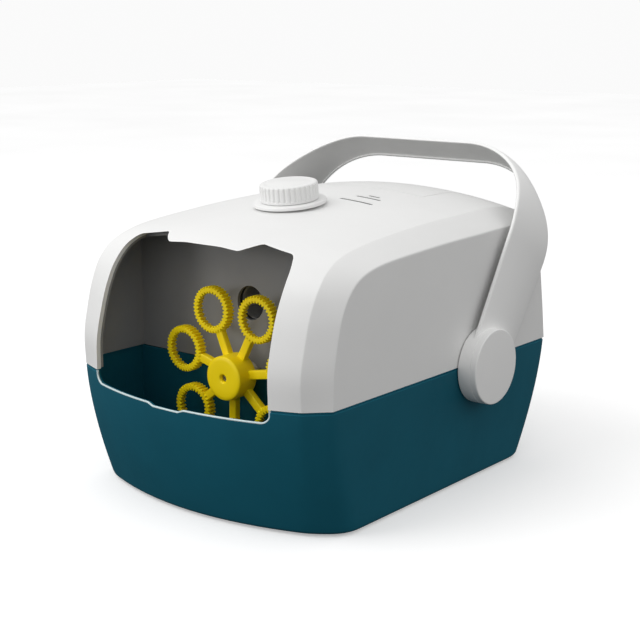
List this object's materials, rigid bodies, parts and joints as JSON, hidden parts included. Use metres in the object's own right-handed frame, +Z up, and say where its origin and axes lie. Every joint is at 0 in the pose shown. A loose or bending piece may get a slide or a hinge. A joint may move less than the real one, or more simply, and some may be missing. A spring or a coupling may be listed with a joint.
{
  "type": "bubble machine",
  "caption": "Portable toy bubble machine: open-fronted shell on a solution tank, toothed wand wheel, top filler cap and swinging carry handle.",
  "frame": {"origin": "centre of the bounding box at the level that the feet stand on", "axes": "+Z up, front opening towards -Y, +X to the right seen from the front"},
  "size_m": [0.2046, 0.2492, 0.1875],
  "materials": {
    "white_shell": "fine satin moulded ABS",
    "teal_tank": "satin moulded ABS",
    "grey_liner": "matt moulded ABS",
    "yellow_wand": "satin moulded polypropylene",
    "natural_nylon": "natural nylon",
    "black_plastic": "matt black",
    "seal_rubber": "matt rubber",
    "steel": "plated",
    "brass_pinion": "cut brass",
    "cell_jacket": "printed foil jacket",
    "button_blue": "satin",
    "board_green": "solder resist"
  },
  "bodies": {
    "body": {"lower_tank": "teal_tank", "tank_deck": "grey_liner", "upper_shell": "white_shell", "chamber_liner": "grey_liner", "partition_seal": "seal_rubber", "axle_bush": "natural_nylon", "axle_seal": "seal_rubber", "idler_pin": "steel", "gearbox_plate": "grey_liner", "gearbox_cover": "grey_liner", "drive_motor": "steel", "blower_housing": "grey_liner", "blower_cover": "grey_liner", "air_nozzle": "grey_liner", "fan_motor": "steel", "filler_neck": "white_shell", "filler_tube": "natural_nylon", "pivot_bush_left": "natural_nylon", "pivot_bush_right": "natural_nylon", "pivot_screw_left": "steel", "pivot_screw_right": "steel", "battery_box": "black_plastic", "battery_cell_1": "cell_jacket", "battery_cell_2": "cell_jacket", "battery_cell_3": "cell_jacket", "battery_cell_4": "cell_jacket", "contact_spring_1": "steel", "contact_spring_2": "steel", "contact_spring_3": "steel", "contact_spring_4": "steel", "contact_plate_1": "steel", "contact_plate_2": "steel", "switch_body": "black_plastic", "button_spring": "steel", "circuit_board": "board_green", "foot_1": "seal_rubber", "foot_2": "seal_rubber", "foot_3": "seal_rubber", "foot_4": "seal_rubber", "case_screw_1": "steel", "case_screw_2": "steel", "case_screw_3": "steel", "case_screw_4": "steel"},
    "wheel": {"wand_wheel": "yellow_wand", "wheel_screw": "steel", "wheel_axle": "steel", "wheel_gear": "natural_nylon"},
    "idler": {"idler_gear": "natural_nylon"},
    "pinion": {"motor_pinion": "brass_pinion"},
    "fan": {"fan_impeller": "natural_nylon"},
    "handle": {"handle": "white_shell", "hub_cap_left": "white_shell", "hub_cap_right": "white_shell"},
    "seal": {"cap_seal": "seal_rubber"},
    "cap": {"filler_cap": "white_shell"},
    "lid": {"battery_lid": "white_shell", "lid_screw": "steel"},
    "button": {"power_button": "button_blue"}
  },
  "joints": [
    {"name": "wheel_spin", "type": "hinge", "parent": "body", "child": "wheel", "pos_m": [0, -0.0719, 0.0686], "axis": [0, 1, 0], "continuous": true},
    {"name": "idler_spin", "type": "hinge", "parent": "body", "child": "idler", "pos_m": [-0.02415, -0.04, 0.0686], "axis": [0, 1, 0], "continuous": true},
    {"name": "pinion_spin", "type": "hinge", "parent": "body", "child": "pinion", "pos_m": [-0.0483, -0.038, 0.0686], "axis": [0, 1, 0], "continuous": true},
    {"name": "fan_spin", "type": "hinge", "parent": "body", "child": "fan", "pos_m": [0.024, -0.045, 0.112], "axis": [0, 1, 0], "continuous": true},
    {"name": "handle_swing", "type": "hinge", "parent": "body", "child": "handle", "pos_m": [0, 0.035, 0.0687], "axis": [1, 0, 0], "range_deg": [-57, 39]},
    {"name": "cap_lift", "type": "slide", "parent": "body", "child": "seal", "axis": [0, -0.1128, 0.9936], "range_m": [0, 0.006]},
    {"name": "cap_turn", "type": "hinge", "parent": "seal", "child": "cap", "pos_m": [0, -0.0229, 0.1582], "axis": [0, -0.1128, 0.9936], "range_deg": [0, 541]},
    {"name": "lid_lift", "type": "slide", "parent": "body", "child": "lid", "axis": [0, 0, 1], "range_m": [0, 0.025]},
    {"name": "button_press", "type": "slide", "parent": "body", "child": "button", "axis": [0, -1, 0], "range_m": [0, 0.0015], "stiffness_N_per_m": 400, "springref_m": -0.001, "deforming": ["button_spring"]}
  ],
  "couplings": [
    {"joint": "idler_spin", "follows": "wheel_spin", "ratio": -4},
    {"joint": "pinion_spin", "follows": "wheel_spin", "ratio": 16},
    {"joint": "cap_turn", "follows": "cap_lift", "rad_per_m": 1570.8}
  ]
}
